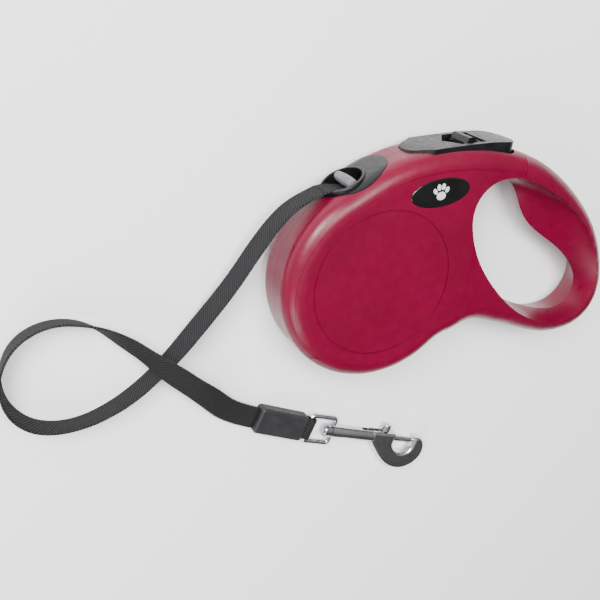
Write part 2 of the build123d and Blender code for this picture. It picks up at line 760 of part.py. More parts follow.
def along_hook(distance):
    """Plane across the hook's axis, at a distance from the ring's bar."""
    return Plane(origin=hook_plane.from_local_coords((distance, 0, 0)), z_dir=hook_dir)


with BuildPart() as tape_sleeve:
    with BuildSketch(sleeve_plane.offset(-sleeve_size[2] / 2)):
        RectangleRounded(sleeve_size[0], sleeve_size[1], 1.5)
    extrude(amount=sleeve_size[2])
    fillet(tape_sleeve.edges().group_by(Axis.Z)[0] + tape_sleeve.edges().group_by(Axis.Z)[-1], 1.2)
    with BuildSketch(sleeve_plane.offset(-tape_thickness)):
        with Locations(((loop_start + sleeve_size[0]) / 2, 0)):
            Rectangle(sleeve_size[0] - loop_start, tape_width)
    extrude(amount=2 * tape_thickness, mode=Mode.SUBTRACT)
save(tape_sleeve.part, "tape_sleeve")

fold_plane = Plane(
    origin=sleeve_plane.from_local_coords((0, tape_width / 2, 0)), x_dir=sleeve_dir,
    z_dir=(sin(sleeve_turn), -cos(sleeve_turn), 0),
)
with BuildPart() as tape_end_loop:
    with BuildSketch(fold_plane):
        with BuildSketch(mode=Mode.PRIVATE) as outer_fold:
            with Locations((bar_offset, 0)):
                Circle(bar_loop[1])
            with Locations((sleeve_size[0] / 2 + fold_step / 2, 0)):
                Rectangle(fold_step, 2 * tape_thickness)
            make_hull()
        add(outer_fold.sketch)
        with Locations(((loop_start + sleeve_size[0] / 2) / 2, 0)):
            Rectangle(sleeve_size[0] / 2 - loop_start, 2 * tape_thickness)
        with BuildSketch(mode=Mode.PRIVATE) as inner_fold:
            with Locations((bar_offset, 0)):
                Circle(bar_loop[0])
            with Locations((sleeve_size[0] / 2 + tape_half, 0)):
                Rectangle(fold_step, fold_step)
            make_hull()
        add(inner_fold.sketch, mode=Mode.SUBTRACT)
    extrude(amount=tape_width)
save(tape_end_loop.part, "tape_end_loop")

with BuildPart() as leash_tape:
    last = (
        sleeve_place[0] - sleeve_size[0] / 2 * sleeve_dir[0],
        sleeve_place[1] - sleeve_size[0] / 2 * sleeve_dir[1], lead_height,
    )
    before_last = (
        last[0] - cord_last_run * sleeve_dir[0], last[1] - cord_last_run * sleeve_dir[1],
        lead_height,
    )
    points = [Vector(*p) for p in [cord_start, *cord_route, before_last, last]]
    radii = []
    for before, corner, after in zip(points, points[1:], points[2:]):
        first_run, next_run = corner - before, after - corner
        half_turn = radians(first_run.get_angle(next_run)) / 2
        radii.append(0.45 * min(first_run.length, next_run.length) / tan(half_turn))
    with BuildLine() as route:
        FilletPolyline(*points, radius=radii)
    with BuildSketch(Plane(origin=route.line @ 0, z_dir=route.line % 0)):
        Circle(cord_radius)
    sweep()
cord_length = route.wire().length
print("cord radii", [round(r, 1) for r in radii], "length", round(cord_length, 1))
print("cord volume over section times length",
      round(leash_tape.part.volume / (pi * cord_radius**2 * cord_length), 4))
save(leash_tape.part, "leash_tape")

# ---------------------------------------------------------------- swivel and hook
with BuildPart() as swivel_ring:
    with BuildSketch(hook_plane, mode=Mode.PRIVATE) as ring_shape:
        with Locations((ring_size[0] / 2, 0)):
            RectangleRounded(ring_size[0], ring_size[1], ring_corner)
    ring_path = ring_shape.sketch.faces()[0].outer_wire()
    with BuildSketch(Plane(origin=ring_path @ 0, z_dir=ring_path % 0)):
        Circle(ring_wire)
    sweep(path=ring_path)
    with BuildSketch(along_hook(ring_boss[1])):
        Circle(ring_boss[0])
    extrude(amount=ring_boss[2] - ring_boss[1])
    with BuildSketch(along_hook(ring_boss[1] - 2)):
        Circle(stud[0] + running_gap)
    extrude(amount=ring_boss[2] - ring_boss[1] + 4, mode=Mode.SUBTRACT)
save(swivel_ring.part, "swivel_ring")

with BuildPart() as swivel_stud:
    with BuildSketch(along_hook(stud_head[1])):
        Circle(stud_head[0])
    extrude(amount=stud_head[2] - stud_head[1])
    with BuildSketch(along_hook(stud_head[1])):
        Circle(stud[0])
    extrude(amount=stud[1] - stud_head[1])
    fillet(swivel_stud.edges().filter_by(GeomType.CIRCLE).sort_by(Axis(bar_centre, hook_dir))[0], 1.0)
save(swivel_stud.part, "swivel_stud")

with BuildPart() as hook_body:
    with BuildSketch(hook_plane.offset(-hook_thickness / 2)):
        with BuildLine():
            Spline(*hook_outside)
            Polyline(hook_outside[-1], (hook_mouth[1], 2.5), hook_inside[0])
            Spline(*hook_inside)
            Polyline(
                hook_inside[-1], (hook_mouth[0], shank[0]), (shank[1] - 1, shank[0]),
                (shank[1] - 1, -shank[0]), hook_outside[0],
            )
        make_face()
    extrude(amount=hook_thickness)
    fillet(
        hook_body.edges().group_by(Axis.Z)[0] + hook_body.edges().group_by(Axis.Z)[-1], hook_round,
    )
    with BuildSketch(along_hook(shoulder[1])):
        Circle(shank[0])
    extrude(amount=shank[1] - shoulder[1])
    with BuildSketch(along_hook(shoulder[1])):
        Circle(shoulder[0] - 0.5)
    extrude(amount=shoulder[2] - shoulder[1])
    with BuildSketch(along_hook(shoulder[1] - 1)):
        Circle(stud[0])
    extrude(amount=stud[1] - shoulder[1] + 1, mode=Mode.SUBTRACT)
    with BuildSketch(along_hook(stud[1])):
        Circle(bolt_radius + running_gap)
    extrude(amount=hook_mouth[0] - stud[1] + 1, mode=Mode.SUBTRACT)
    with BuildSketch(along_hook(hook_mouth[1] - 1)):
        Circle(bolt_radius + running_gap)
    extrude(amount=socket_depth + 1, mode=Mode.SUBTRACT)
    with BuildSketch(hook_plane.offset(-knob[2] - running_gap)):
        with Locations(((knob_slot[0] + knob_slot[1]) / 2, shank[0] / 2 + 1)):
            Rectangle(knob_slot[1] - knob_slot[0], shank[0] + 2)
    extrude(amount=2 * (knob[2] + running_gap), mode=Mode.SUBTRACT)
save(hook_body.part, "hook_body")

knob_base = Plane(
    origin=hook_plane.from_local_coords((knob[0], 0, 0)), x_dir=hook_dir,
    z_dir=(-hook_dir[1], hook_dir[0], 0),
)
with BuildPart() as hook_bolt:
    with BuildSketch(along_hook(bolt_span[0])):
        Circle(bolt_radius)
    extrude(amount=bolt_span[1] - bolt_span[0])
    with BuildSketch(knob_base):
        Circle(knob[2])
    extrude(amount=shank[0] + 1)
    with BuildSketch(knob_base.offset(shank[0] + 0.4)):
        Circle(knob[1])
    extrude(amount=knob[3] - shank[0] - 0.4)
    fillet(hook_bolt.faces().sort_by(Axis((0, 0, 0), knob_base.z_dir))[-1].edges(), 0.8)
save(hook_bolt.part, "hook_bolt")

with BuildPart() as bolt_spring:
    with BuildLine() as coil:
        Helix(
            pitch=(bolt_span[0] - stud[1]) / bolt_spring_turns,
            height=bolt_span[0] - stud[1] - bolt_spring_wire,
            radius=bolt_radius - bolt_spring_wire / 2 - running_gap,
            center=along_hook(stud[1] + bolt_spring_wire / 2).origin, direction=hook_dir,
        )
    with BuildSketch(Plane(origin=coil.line @ 0, z_dir=coil.line % 0)):
        Circle(bolt_spring_wire / 2)
    sweep()
save(bolt_spring.part, "bolt_spring")
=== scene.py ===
"""A retractable pet leash on a pale table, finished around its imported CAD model, in metres.

The frame is the CAD's own: the origin is where the spool's axis meets the table, +Z is up, +X
runs from the round nose to the handle, and +Y is the button's side.
"""
from math import cos, pi, radians, sin

import bmesh
import bpy
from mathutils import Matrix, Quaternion, Vector


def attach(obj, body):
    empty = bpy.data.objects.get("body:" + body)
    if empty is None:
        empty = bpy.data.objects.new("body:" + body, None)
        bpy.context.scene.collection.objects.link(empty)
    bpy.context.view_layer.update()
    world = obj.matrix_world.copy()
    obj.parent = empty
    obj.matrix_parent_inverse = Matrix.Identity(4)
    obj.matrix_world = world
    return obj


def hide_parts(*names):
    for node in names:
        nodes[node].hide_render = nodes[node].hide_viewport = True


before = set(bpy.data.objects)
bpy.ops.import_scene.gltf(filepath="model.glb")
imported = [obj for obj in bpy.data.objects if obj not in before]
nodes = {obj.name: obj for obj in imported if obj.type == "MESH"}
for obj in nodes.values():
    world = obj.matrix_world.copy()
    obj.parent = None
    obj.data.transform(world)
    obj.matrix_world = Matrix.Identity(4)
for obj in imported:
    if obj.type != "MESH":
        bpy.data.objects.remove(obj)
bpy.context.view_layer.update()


# ---------------------------------------------------------------- table, light and camera
# A broad table top with a matt pale lacquer stands in a pale room that is brighter on the
# window's side. A soft lamp lights it from the window's side, one fills in from the left, and
# one hangs above. The camera looks down from the upper left.
scene = bpy.context.scene
camera_place = Vector((-0.1862, 0.1111, 0.2953))
camera_aim = Vector((-0.0201, -0.0187, 0.0))
camera_roll = 133.1       # degrees, about the line of sight
camera_lens = 51.9        # millimetres, on a 36 mm sensor
camera_data = bpy.data.cameras.new("hand_camera")
camera_data.lens = camera_lens
camera_data.sensor_width = 36.0
camera_data.clip_start = 0.01
camera = bpy.data.objects.new("hand_camera", camera_data)
scene.collection.objects.link(camera)
camera.location = camera_place
camera.rotation_mode = "QUATERNION"
camera.rotation_quaternion = (
    (camera_aim - camera_place).to_track_quat("-Z", "Y")
    @ Quaternion((0.0, 0.0, 1.0), radians(camera_roll))
)
scene.camera = camera


def lamp(name, place, size, power):
    """A square soft lamp that is aimed at the frame's origin; size in metres, power in watts."""
    data = bpy.data.lights.new(name, "AREA")
    data.shape = "SQUARE"
    data.size = size
    data.energy = power
    made = bpy.data.objects.new(name, data)
    scene.collection.objects.link(made)
    made.location = place
    made.rotation_mode = "QUATERNION"
    made.rotation_quaternion = (-Vector(place)).to_track_quat("-Z", "Y")


lamp("window_lamp", (-0.70, 0.55, 0.80), size=0.5, power=24.0)
lamp("fill_lamp", (-0.45, -0.75, 0.55), size=0.5, power=5.0)
lamp("top_lamp", (-0.10, 0.45, 1.10), size=0.5, power=14.0)

room = bpy.data.worlds.new("pale_room")
room.use_nodes = True
room_light = room.node_tree.nodes["Background"]
room_light.inputs["Color"].default_value = (1.0, 0.99, 0.98, 1.0)
window_side = (-0.62, 0.60, 0.50)
room_dim = 0.10
room_bright = 0.95
room_place = room.node_tree.nodes.new("ShaderNodeTexCoord")
room_side = room.node_tree.nodes.new("ShaderNodeVectorMath")
room_side.operation = "DOT_PRODUCT"
room_side.inputs[1].default_value = window_side
room_share = room.node_tree.nodes.new("ShaderNodeMapRange")
room_share.inputs["From Min"].default_value = -0.3
room_share.inputs["From Max"].default_value = 0.9
room_share.inputs["To Min"].default_value = room_dim
room_share.inputs["To Max"].default_value = room_bright
room.node_tree.links.new(room_place.outputs["Generated"], room_side.inputs[0])
room.node_tree.links.new(room_side.outputs["Value"], room_share.inputs["Value"])
room.node_tree.links.new(room_share.outputs["Result"], room_light.inputs["Strength"])
scene.world = room


def new_material(name, **values):
    """A material and its shader, with values for the shader's sockets by their names."""
    made = bpy.data.materials.new(name)
    made.use_nodes = True
    shader = made.node_tree.nodes["Principled BSDF"]
    for socket, value in values.items():
        shader.inputs[socket.replace("_", " ")].default_value = value
    return made, shader


def add_node(material, kind, settings=None, **values):
    """A node of that kind, with its own settings and values for its sockets."""
    made = material.node_tree.nodes.new(kind)
    for key, value in (settings or {}).items():
        setattr(made, key, value)
    for socket, value in values.items():
        made.inputs[socket.replace("_", " ")].default_value = value
    return made


def join(material, start, end):
    material.node_tree.links.new(start, end)


def uneven_gloss(material, place, scale, detail, low, high, shader):
    """Noise at that scale moves the roughness between two values."""
    noise = add_node(material, "ShaderNodeTexNoise", Scale=scale, Detail=detail)
    spread = add_node(
        material, "ShaderNodeMapRange", From_Min=0.3, From_Max=0.7, To_Min=low, To_Max=high,
    )
    join(material, place, noise.inputs["Vector"])
    join(material, noise.outputs["Fac"], spread.inputs["Value"])
    join(material, spread.outputs["Result"], shader.inputs["Roughness"])


def object_coordinate(material):
    """Metres in the frame, because every piece keeps its place in its mesh."""
    return add_node(material, "ShaderNodeTexCoord").outputs["Object"]


table_half = 2.0
table_mesh = bpy.data.meshes.new("table_top")
table_mesh.from_pydata(
    [(-table_half, -table_half, 0), (table_half, -table_half, 0), (table_half, table_half, 0),
     (-table_half, table_half, 0)], [], [(0, 1, 2, 3)],
)
table = bpy.data.objects.new("table_top", table_mesh)
scene.collection.objects.link(table)
lacquer, lacquer_shader = new_material("pale_lacquer", Base_Color=(0.96, 0.96, 0.96, 1.0))
uneven_gloss(
    lacquer, object_coordinate(lacquer), scale=900.0, detail=2.0, low=0.5, high=0.6,
    shader=lacquer_shader,
)
table_mesh.materials.append(lacquer)


# ---------------------------------------------------------------- free end of the tape
# Ten millimetre webbing of black polyester, one millimetre thick, woven in twill. It comes out
# of the mouth on its edge, loops once on the table, and lies down flat before the sleeve.
tape_width = 0.010
tape_thickness = 0.001
tape_exit = (-0.0286, 0.0330, 0.014)
tape_route = [
    tape_exit, (-0.0370, 0.0284, 0.0138), (-0.0440, 0.0205, 0.0132), (-0.0505, 0.0080, 0.0122),
    (-0.0570, -0.0075, 0.0102), (-0.0665, -0.0255, 0.0072), (-0.0770, -0.0435, 0.0048),
    (-0.0910, -0.0585, 0.0048), (-0.1080, -0.0680, 0.0052), (-0.1250, -0.0690, 0.0053),
    (-0.1370, -0.0600, 0.0053), (-0.1410, -0.0450, 0.0053), (-0.1360, -0.0310, 0.0053),
    (-0.1235, -0.0235, 0.0055), (-0.1085, -0.0245, 0.0066), (-0.0945, -0.0315, 0.0100),
    (-0.0830, -0.0390, 0.0134), (-0.0715, -0.0475, 0.0130), (-0.0580, -0.0580, 0.0078),
    (-0.045172, -0.069086, 0.0032), (-0.032645, -0.072560, 0.0032),
]
# how far the tape lies over, in degrees from standing on its edge, against its share of the way
tape_lean = [
    (0.0, 0.0), (0.12, 9.0), (0.24, 12.0), (0.33, 5.0), (0.43, -3.0), (0.52, 10.0), (0.60, 7.0),
    (0.68, 12.0), (0.77, 45.0), (0.85, 70.0), (0.94, 90.0), (1.0, 90.0),
]


def smooth_line(name, route):
    """Points of a smooth spline whose control points are the route."""
    data = bpy.data.curves.new(name, "CURVE")
    data.dimensions = "3D"
    data.resolution_u = 12
    spline = data.splines.new("NURBS")
    spline.points.add(len(route) - 1)
    for point, place in zip(spline.points, route):
        point.co = (*place, 1.0)
    spline.order_u = 3
    spline.use_endpoint_u = True
    carrier = bpy.data.objects.new(name, data)
    scene.collection.objects.link(carrier)
    bpy.context.view_layer.update()
    line = bpy.data.meshes.new_from_object(carrier)
    points = [v.co.copy() for v in line.vertices]
    bpy.data.objects.remove(carrier)
    bpy.data.meshes.remove(line)
    return points


def between(rows, at):
    """Value at a place in rows of (place, value), eased from each row to the next."""
    for (start, low), (end, high) in zip(rows, rows[1:]):
        if at <= end:
            share = (at - start) / (end - start)
            eased = share * share * (3 - 2 * share)
            return low + (high - low) * eased
    return rows[-1][1]


def ways(points):
    """Distance along the points from the first, at each one."""
    way = [0.0]
    for near, far in zip(points, points[1:]):
        way.append(way[-1] + (far - near).length)
    return way


def heading(points, i):
    """From the point before to the point after."""
    return points[min(i + 1, len(points) - 1)] - points[max(i - 1, 0)]


# a quarter of the strip's section, as shares of half its width and half its thickness: the edges
# are round and a little thicker than the middle
edge_section = [(-1.0, 0.0), (-0.985, 0.7), (-0.90, 1.0), (-0.45, 0.94), (0.0, 0.92)]


def ribbon(name, points, facing, width, thickness):
    """A closed strip along the points; facing gives the direction of its face at each one.

    Its UV map holds metres along and across the strip, for the weave to follow.
    """
    half = width / 2
    thick = thickness / 2
    upper = edge_section + [(-u, v) for u, v in reversed(edge_section[:-1])]
    shape = upper + [(u, -v) for u, v in reversed(upper[1:-1])]
    count = len(shape)
    mesh = bmesh.new()
    weave = mesh.loops.layers.uv.new("weave")
    rings = []
    way = ways(points)
    for i, point in enumerate(points):
        ahead = heading(points, i)
        face = facing[i] - ahead * (facing[i].dot(ahead) / ahead.length_squared)
        face.normalize()
        across = face.cross(ahead).normalized()
        rings.append([mesh.verts.new(point + across * (half * u) + face * (thick * v))
                      for u, v in shape])
    for i in range(len(rings) - 1):
        for k in range(count):
            n = (k + 1) % count
            made = mesh.faces.new((rings[i][k], rings[i][n], rings[i + 1][n], rings[i + 1][k]))
            made.smooth = True
            places = [(way[i], shape[k][0]), (way[i], shape[n][0]), (way[i + 1], shape[n][0]),
                      (way[i + 1], shape[k][0])]
            for loop, (along, over) in zip(made.loops, places):
                loop[weave].uv = (along, over * half)
    mesh.faces.new(rings[0])
    mesh.faces.new(reversed(rings[-1]))
    bmesh.ops.recalc_face_normals(mesh, faces=mesh.faces)
    data = bpy.data.meshes.new(name)
    mesh.to_mesh(data)
    mesh.free()
    made = bpy.data.objects.new(name, data)
    scene.collection.objects.link(made)
    return made


def relief(material, height, shader, strength, distance):
    """Raises the surface by a height that a node gives; distance in metres."""
    bump = add_node(material, "ShaderNodeBump", Strength=strength, Distance=distance)
    join(material, height, bump.inputs["Height"])
    join(material, bump.outputs["Normal"], shader.inputs["Normal"])


# twill: diagonal ribs of yarn across the tape, crossed by the finer weft; a wave texture at
# scale 1 repeats every wave_step metres
wave_step = 0.314
twill_rib = 0.0011
twill_turn = radians(38.0)
weft_rib = 0.55 * twill_rib
weft_share = 0.45
# the tape's colour follows the height of the weave: painted shade darkens the hollows between
# the ribs, and painted light brightens their crests
twill_painted_shade = (0.001, 0.001, 0.0012, 1.0)
twill_painted_light = (0.020, 0.020, 0.022, 1.0)
webbing, webbing_shader = new_material("black_twill", Roughness=0.82, Specular_IOR_Level=0.22)
weave_place = add_node(webbing, "ShaderNodeUVMap", {"uv_map": "weave"})
twill_place = add_node(webbing, "ShaderNodeMapping", Rotation=(0.0, 0.0, twill_turn))
ribs = add_node(
    webbing, "ShaderNodeTexWave", {"wave_profile": "SIN"}, Scale=wave_step / twill_rib,
    Distortion=0.4,
)
weft = add_node(
    webbing, "ShaderNodeTexWave", {"wave_profile": "SIN", "bands_direction": "Y"},
    Scale=wave_step / weft_rib, Distortion=0.6,
)
weave = add_node(webbing, "ShaderNodeMath", {"operation": "MULTIPLY_ADD"})
weave.inputs[1].default_value = weft_share
# painted shade in the hollows and painted light on the crests, from the same weave height that
# the bump uses
twill_tones = add_node(webbing, "ShaderNodeValToRGB")
for stop, position, tone in zip(
    twill_tones.color_ramp.elements, (0.25, 1.0), (twill_painted_shade, twill_painted_light),
):
    stop.position = position
    stop.color = tone
join(webbing, weave_place.outputs["UV"], twill_place.inputs["Vector"])
join(webbing, twill_place.outputs["Vector"], ribs.inputs["Vector"])
join(webbing, weave_place.outputs["UV"], weft.inputs["Vector"])
join(webbing, weft.outputs["Fac"], weave.inputs[0])
join(webbing, ribs.outputs["Fac"], weave.inputs[2])
join(webbing, weave.outputs["Value"], twill_tones.inputs["Fac"])
join(webbing, twill_tones.outputs["Color"], webbing_shader.inputs["Base Color"])
relief(webbing, weave.outputs["Value"], webbing_shader, strength=0.8, distance=0.00025)

tape_points = smooth_line("tape_line", tape_route)
tape_way = ways(tape_points)
tape_facing = []
for i, way in enumerate(tape_way):
    ahead = heading(tape_points, i)
    side = Vector((ahead.y, -ahead.x, 0.0)).normalized()
    lean = radians(between(tape_lean, way / tape_way[-1]))
    tape_facing.append(side * cos(lean) + Vector((0.0, 0.0, 1.0)) * sin(lean))
free_tape = ribbon("free_tape", tape_points, tape_facing, tape_width, tape_thickness)
free_tape.data.materials.append(webbing)
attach(free_tape, "housing")
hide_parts("leash_tape")


# ---------------------------------------------------------------- selvedge of the tape
# Where the weft turns back at the tape's two edges it leaves a row of small loops. They are the
# same yarn as the tape, and stand barely proud of it, which makes its edges look toothed.
loop_spacing = 0.00125
loop_radius = 0.00042
loop_stretch = (1.15, 0.95, 0.95)
loop_inset = 0.00012


def repeat_tree(name):
    """A node tree that sets small drops of yarn along the lines of its input mesh."""
    tree = bpy.data.node_groups.new(name, "GeometryNodeTree")
    tree.interface.new_socket("Lines", in_out="INPUT", socket_type="NodeSocketGeometry")
    tree.interface.new_socket("Spacing", in_out="INPUT", socket_type="NodeSocketFloat")
    tree.interface.new_socket("Radius", in_out="INPUT", socket_type="NodeSocketFloat")
    tree.interface.new_socket("Stretch", in_out="INPUT", socket_type="NodeSocketVector")
    tree.interface.new_socket("Yarn", in_out="INPUT", socket_type="NodeSocketMaterial")
    tree.interface.new_socket("Loops", in_out="OUTPUT", socket_type="NodeSocketGeometry")
    enter = tree.nodes.new("NodeGroupInput")
    leave = tree.nodes.new("NodeGroupOutput")
    curves = tree.nodes.new("GeometryNodeMeshToCurve")
    places = tree.nodes.new("GeometryNodeResampleCurve")
    places.mode = "LENGTH"
    tangent = tree.nodes.new("GeometryNodeInputTangent")
    turned = tree.nodes.new("FunctionNodeAlignRotationToVector")
    turned.axis = "X"
    drop = tree.nodes.new("GeometryNodeMeshUVSphere")
    drop.inputs["Segments"].default_value = 8
    drop.inputs["Rings"].default_value = 5
    spread = tree.nodes.new("GeometryNodeInstanceOnPoints")
    whole = tree.nodes.new("GeometryNodeRealizeInstances")
    soft = tree.nodes.new("GeometryNodeSetShadeSmooth")
    dressed = tree.nodes.new("GeometryNodeSetMaterial")
    link = tree.links.new
    link(enter.outputs["Lines"], curves.inputs["Mesh"])
    link(curves.outputs["Curve"], places.inputs["Curve"])
    link(enter.outputs["Spacing"], places.inputs["Length"])
    link(tangent.outputs["Tangent"], turned.inputs["Vector"])
    link(enter.outputs["Radius"], drop.inputs["Radius"])
    link(places.outputs["Curve"], spread.inputs["Points"])
    link(drop.outputs["Mesh"], spread.inputs["Instance"])
    link(turned.outputs["Rotation"], spread.inputs["Rotation"])
    link(enter.outputs["Stretch"], spread.inputs["Scale"])
    link(spread.outputs["Instances"], whole.inputs["Geometry"])
    link(whole.outputs["Geometry"], soft.inputs["Geometry"])
    link(soft.outputs["Geometry"], dressed.inputs["Geometry"])
    link(enter.outputs["Yarn"], dressed.inputs["Material"])
    link(dressed.outputs["Geometry"], leave.inputs["Loops"])
    return tree


def repeated(name, tree, lines, values):
    """Runs the tree on a mesh of lines and returns its result as a plain mesh object."""
    mesh = bpy.data.meshes.new(name + "_lines")
    corners = []
    edges = []
    for line in lines:
        start = len(corners)
        corners += line
        edges += [(start + i, start + i + 1) for i in range(len(line) - 1)]
    mesh.from_pydata(corners, edges, [])
    carrier = bpy.data.objects.new(name + "_lines", mesh)
    scene.collection.objects.link(carrier)
    modifier = carrier.modifiers.new("repeat", "NODES")
    modifier.node_group = tree
    sockets = {s.name: s.identifier for s in tree.interface.items_tree}
    for key, value in values.items():
        modifier[sockets[key]] = value
    bpy.context.view_layer.update()
    seen = carrier.evaluated_get(bpy.context.evaluated_depsgraph_get())
    plain = bpy.data.meshes.new_from_object(seen)
    plain.name = name
    bpy.data.objects.remove(carrier)
    made = bpy.data.objects.new(name, plain)
    scene.collection.objects.link(made)
    return made


def two_tones(material, place, scale, dark, light, shader):
    """Two near tones of one colour, drifting into each other over the piece."""
    noise = add_node(material, "ShaderNodeTexNoise", Scale=scale, Detail=3.0)
    tones = add_node(material, "ShaderNodeValToRGB")
    for stop, position, tone in zip(tones.color_ramp.elements, (0.35, 0.65), (dark, light)):
        stop.position = position
        stop.color = (*tone, 1.0)
    join(material, place, noise.inputs["Vector"])
    join(material, noise.outputs["Fac"], tones.inputs["Fac"])
    join(material, tones.outputs["Color"], shader.inputs["Base Color"])


yarn, yarn_shader = new_material("black_yarn")
yarn_place = object_coordinate(yarn)
two_tones(
    yarn, yarn_place, scale=2500.0, dark=(0.003, 0.003, 0.003), light=(0.016, 0.016, 0.018),
    shader=yarn_shader,
)
uneven_gloss(
    yarn, yarn_place, scale=6000.0, detail=2.0, low=0.7, high=0.9, shader=yarn_shader,
)
edge_lines = [[], []]
for i, point in enumerate(tape_points):
    across = tape_facing[i].cross(heading(tape_points, i)).normalized()
    for line, side in zip(edge_lines, (-1, 1)):
        line.append(point + across * (side * (tape_width / 2 - loop_inset)))
yarn_tree = repeat_tree("yarn_loops")
selvedge = repeated("tape_selvedge", yarn_tree, edge_lines, {
    "Spacing": loop_spacing, "Radius": loop_radius, "Stretch": loop_stretch, "Yarn": yarn,
})
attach(selvedge, "housing")


# ---------------------------------------------------------------- folded end of the tape
# The tape's end goes round the bar of the swivel ring and back into the sleeve, where its two
# layers are sewn together. The fold holds the ring loosely, so that it can swing.
sleeve_middle = Vector((-0.0206, -0.0759, 0.0032))
sleeve_turn = radians(-15.5)
sleeve_along = Vector((cos(sleeve_turn), sin(sleeve_turn), 0.0))
bar_way = 0.0153
fold_radius = 0.0021
layer = 0.00055
fold_start = -0.009
fold_bend = 0.0108
fold_thickness = 0.00095
run_steps = 4
bend_steps = 20
bend_half = 118.0         # degrees each way from the far side of the bar
fold_points = []
fold_facing = []


def fold_place(along, height, face_along, face_up):
    """Adds a point of the fold, and the direction that its face has there."""
    fold_points.append(sleeve_middle + sleeve_along * along + Vector((0.0, 0.0, height)))
    fold_facing.append(sleeve_along * face_along + Vector((0.0, 0.0, face_up)))


for step in range(run_steps + 1):
    fold_place(fold_start + (fold_bend - fold_start) * step / run_steps, -layer, 0.0, -1.0)
for step in range(bend_steps + 1):
    turn = radians(bend_half * (2 * step / bend_steps - 1))
    fold_place(bar_way + fold_radius * cos(turn), fold_radius * sin(turn), cos(turn), sin(turn))
for step in range(run_steps + 1):
    fold_place(fold_bend + (fold_start - fold_bend) * step / run_steps, layer, 0.0, 1.0)
tape_fold = ribbon("tape_fold", fold_points, fold_facing, tape_width, fold_thickness)
tape_fold.data.materials.append(webbing)
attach(tape_fold, "housing")
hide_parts("tape_end_loop")


# ---------------------------------------------------------------- sleeve
# A soft cap of dark grey rubber, moulded over the sewn fold of the tape. It has the dull, even
# skin of a spark-eroded mould, in two near tones where it has been handled.
rubber, rubber_shader = new_material("grey_rubber")
rubber_place = object_coordinate(rubber)


def fine_skin(material, place, scale, strength, distance, shader):
    """The fine unevenness that a mould leaves; distance in metres."""
    noise = add_node(material, "ShaderNodeTexNoise", Scale=scale, Detail=2.0)
    join(material, place, noise.inputs["Vector"])
    relief(material, noise.outputs["Fac"], shader, strength, distance)


def dress(name, material):
    """Gives a CAD node its material and leaves its mesh alone."""
    data = nodes[name].data
    data.materials.clear()
    data.materials.append(material)


two_tones(
    rubber, rubber_place, scale=220.0, dark=(0.007, 0.007, 0.008), light=(0.013, 0.013, 0.015),
    shader=rubber_shader,
)
uneven_gloss(
    rubber, rubber_place, scale=900.0, detail=3.0, low=0.55, high=0.72, shader=rubber_shader,
)
fine_skin(
    rubber, rubber_place, scale=5200.0, strength=0.35, distance=0.0001, shader=rubber_shader,
)


dress("tape_sleeve", rubber)


# ---------------------------------------------------------------- swivel ring and bolt snap
# Zinc castings with a bright chrome plating: the ring, the stud that it turns on, and the hook
# with its sliding bolt. Handling has left hair scratches and a little haze.
chrome, chrome_shader = new_material("bright_chrome", Metallic=1.0)
chrome_place = object_coordinate(chrome)
two_tones(
    chrome, chrome_place, scale=90.0, dark=(0.55, 0.55, 0.58), light=(0.68, 0.68, 0.71),
    shader=chrome_shader,
)
uneven_gloss(
    chrome, chrome_place, scale=700.0, detail=5.0, low=0.08, high=0.22, shader=chrome_shader,
)
scratch_place = add_node(chrome, "ShaderNodeMapping", Scale=(1.0, 14.0, 3.0))
scratches = add_node(chrome, "ShaderNodeTexNoise", Scale=420.0, Detail=4.0)
join(chrome, chrome_place, scratch_place.inputs["Vector"])
join(chrome, scratch_place.outputs["Vector"], scratches.inputs["Vector"])
relief(chrome, scratches.outputs["Fac"], chrome_shader, strength=0.10, distance=0.0001)
for name in ("swivel_ring", "swivel_stud", "hook_body", "hook_bolt"):
    dress(name, chrome)


# ---------------------------------------------------------------- springs, pins and screws
# Springs of drawn wire, turned pins and screws, and the rolled strip of the mainspring, all in
# plain steel with the fine uneven skin that drawing and turning leave.
steel, steel_shader = new_material("drawn_steel", Metallic=1.0)
steel_place = object_coordinate(steel)
two_tones(
    steel, steel_place, scale=300.0, dark=(0.40, 0.40, 0.42), light=(0.56, 0.56, 0.58),
    shader=steel_shader,
)
uneven_gloss(
    steel, steel_place, scale=2500.0, detail=4.0, low=0.22, high=0.42, shader=steel_shader,
)
fine_skin(
    steel, steel_place, scale=4000.0, strength=0.15, distance=0.00005, shader=steel_shader,
)
for name in ("housing_screws", "roller_pin", "spool_axle", "button_pin", "pawl_pin",
             "button_spring", "pawl_spring", "bolt_spring", "mainspring"):
    dress(name, steel)


# ---------------------------------------------------------------- housing shells
# Two shells of crimson ABS, injection moulded, screwed together from the back. The skin is a
# satin polish with a faint orange peel, and fine hair scratches from use.
crimson, crimson_shader = new_material("crimson_abs", Specular_IOR_Level=0.34)
crimson_place = object_coordinate(crimson)
two_tones(
    crimson, crimson_place, scale=35.0, dark=(0.115, 0.0, 0.016), light=(0.135, 0.0, 0.019),
    shader=crimson_shader,
)
uneven_gloss(
    crimson, crimson_place, scale=260.0, detail=6.0, low=0.27, high=0.38, shader=crimson_shader,
)
peel = add_node(crimson, "ShaderNodeTexNoise", Scale=1600.0, Detail=2.0)
hairs_place = add_node(crimson, "ShaderNodeMapping", Scale=(1.0, 9.0, 1.0))
hairs = add_node(crimson, "ShaderNodeTexNoise", Scale=240.0, Detail=6.0)
hair_share = 0.35
skin = add_node(crimson, "ShaderNodeMath", {"operation": "MULTIPLY_ADD"})
skin.inputs[1].default_value = hair_share
join(crimson, crimson_place, peel.inputs["Vector"])
join(crimson, crimson_place, hairs_place.inputs["Vector"])
join(crimson, hairs_place.outputs["Vector"], hairs.inputs["Vector"])
join(crimson, hairs.outputs["Fac"], skin.inputs[0])
join(crimson, peel.outputs["Fac"], skin.inputs[2])
relief(crimson, skin.outputs["Value"], crimson_shader, strength=0.10, distance=0.00008)
for name in ("front_shell", "rear_shell"):
    dress(name, crimson)


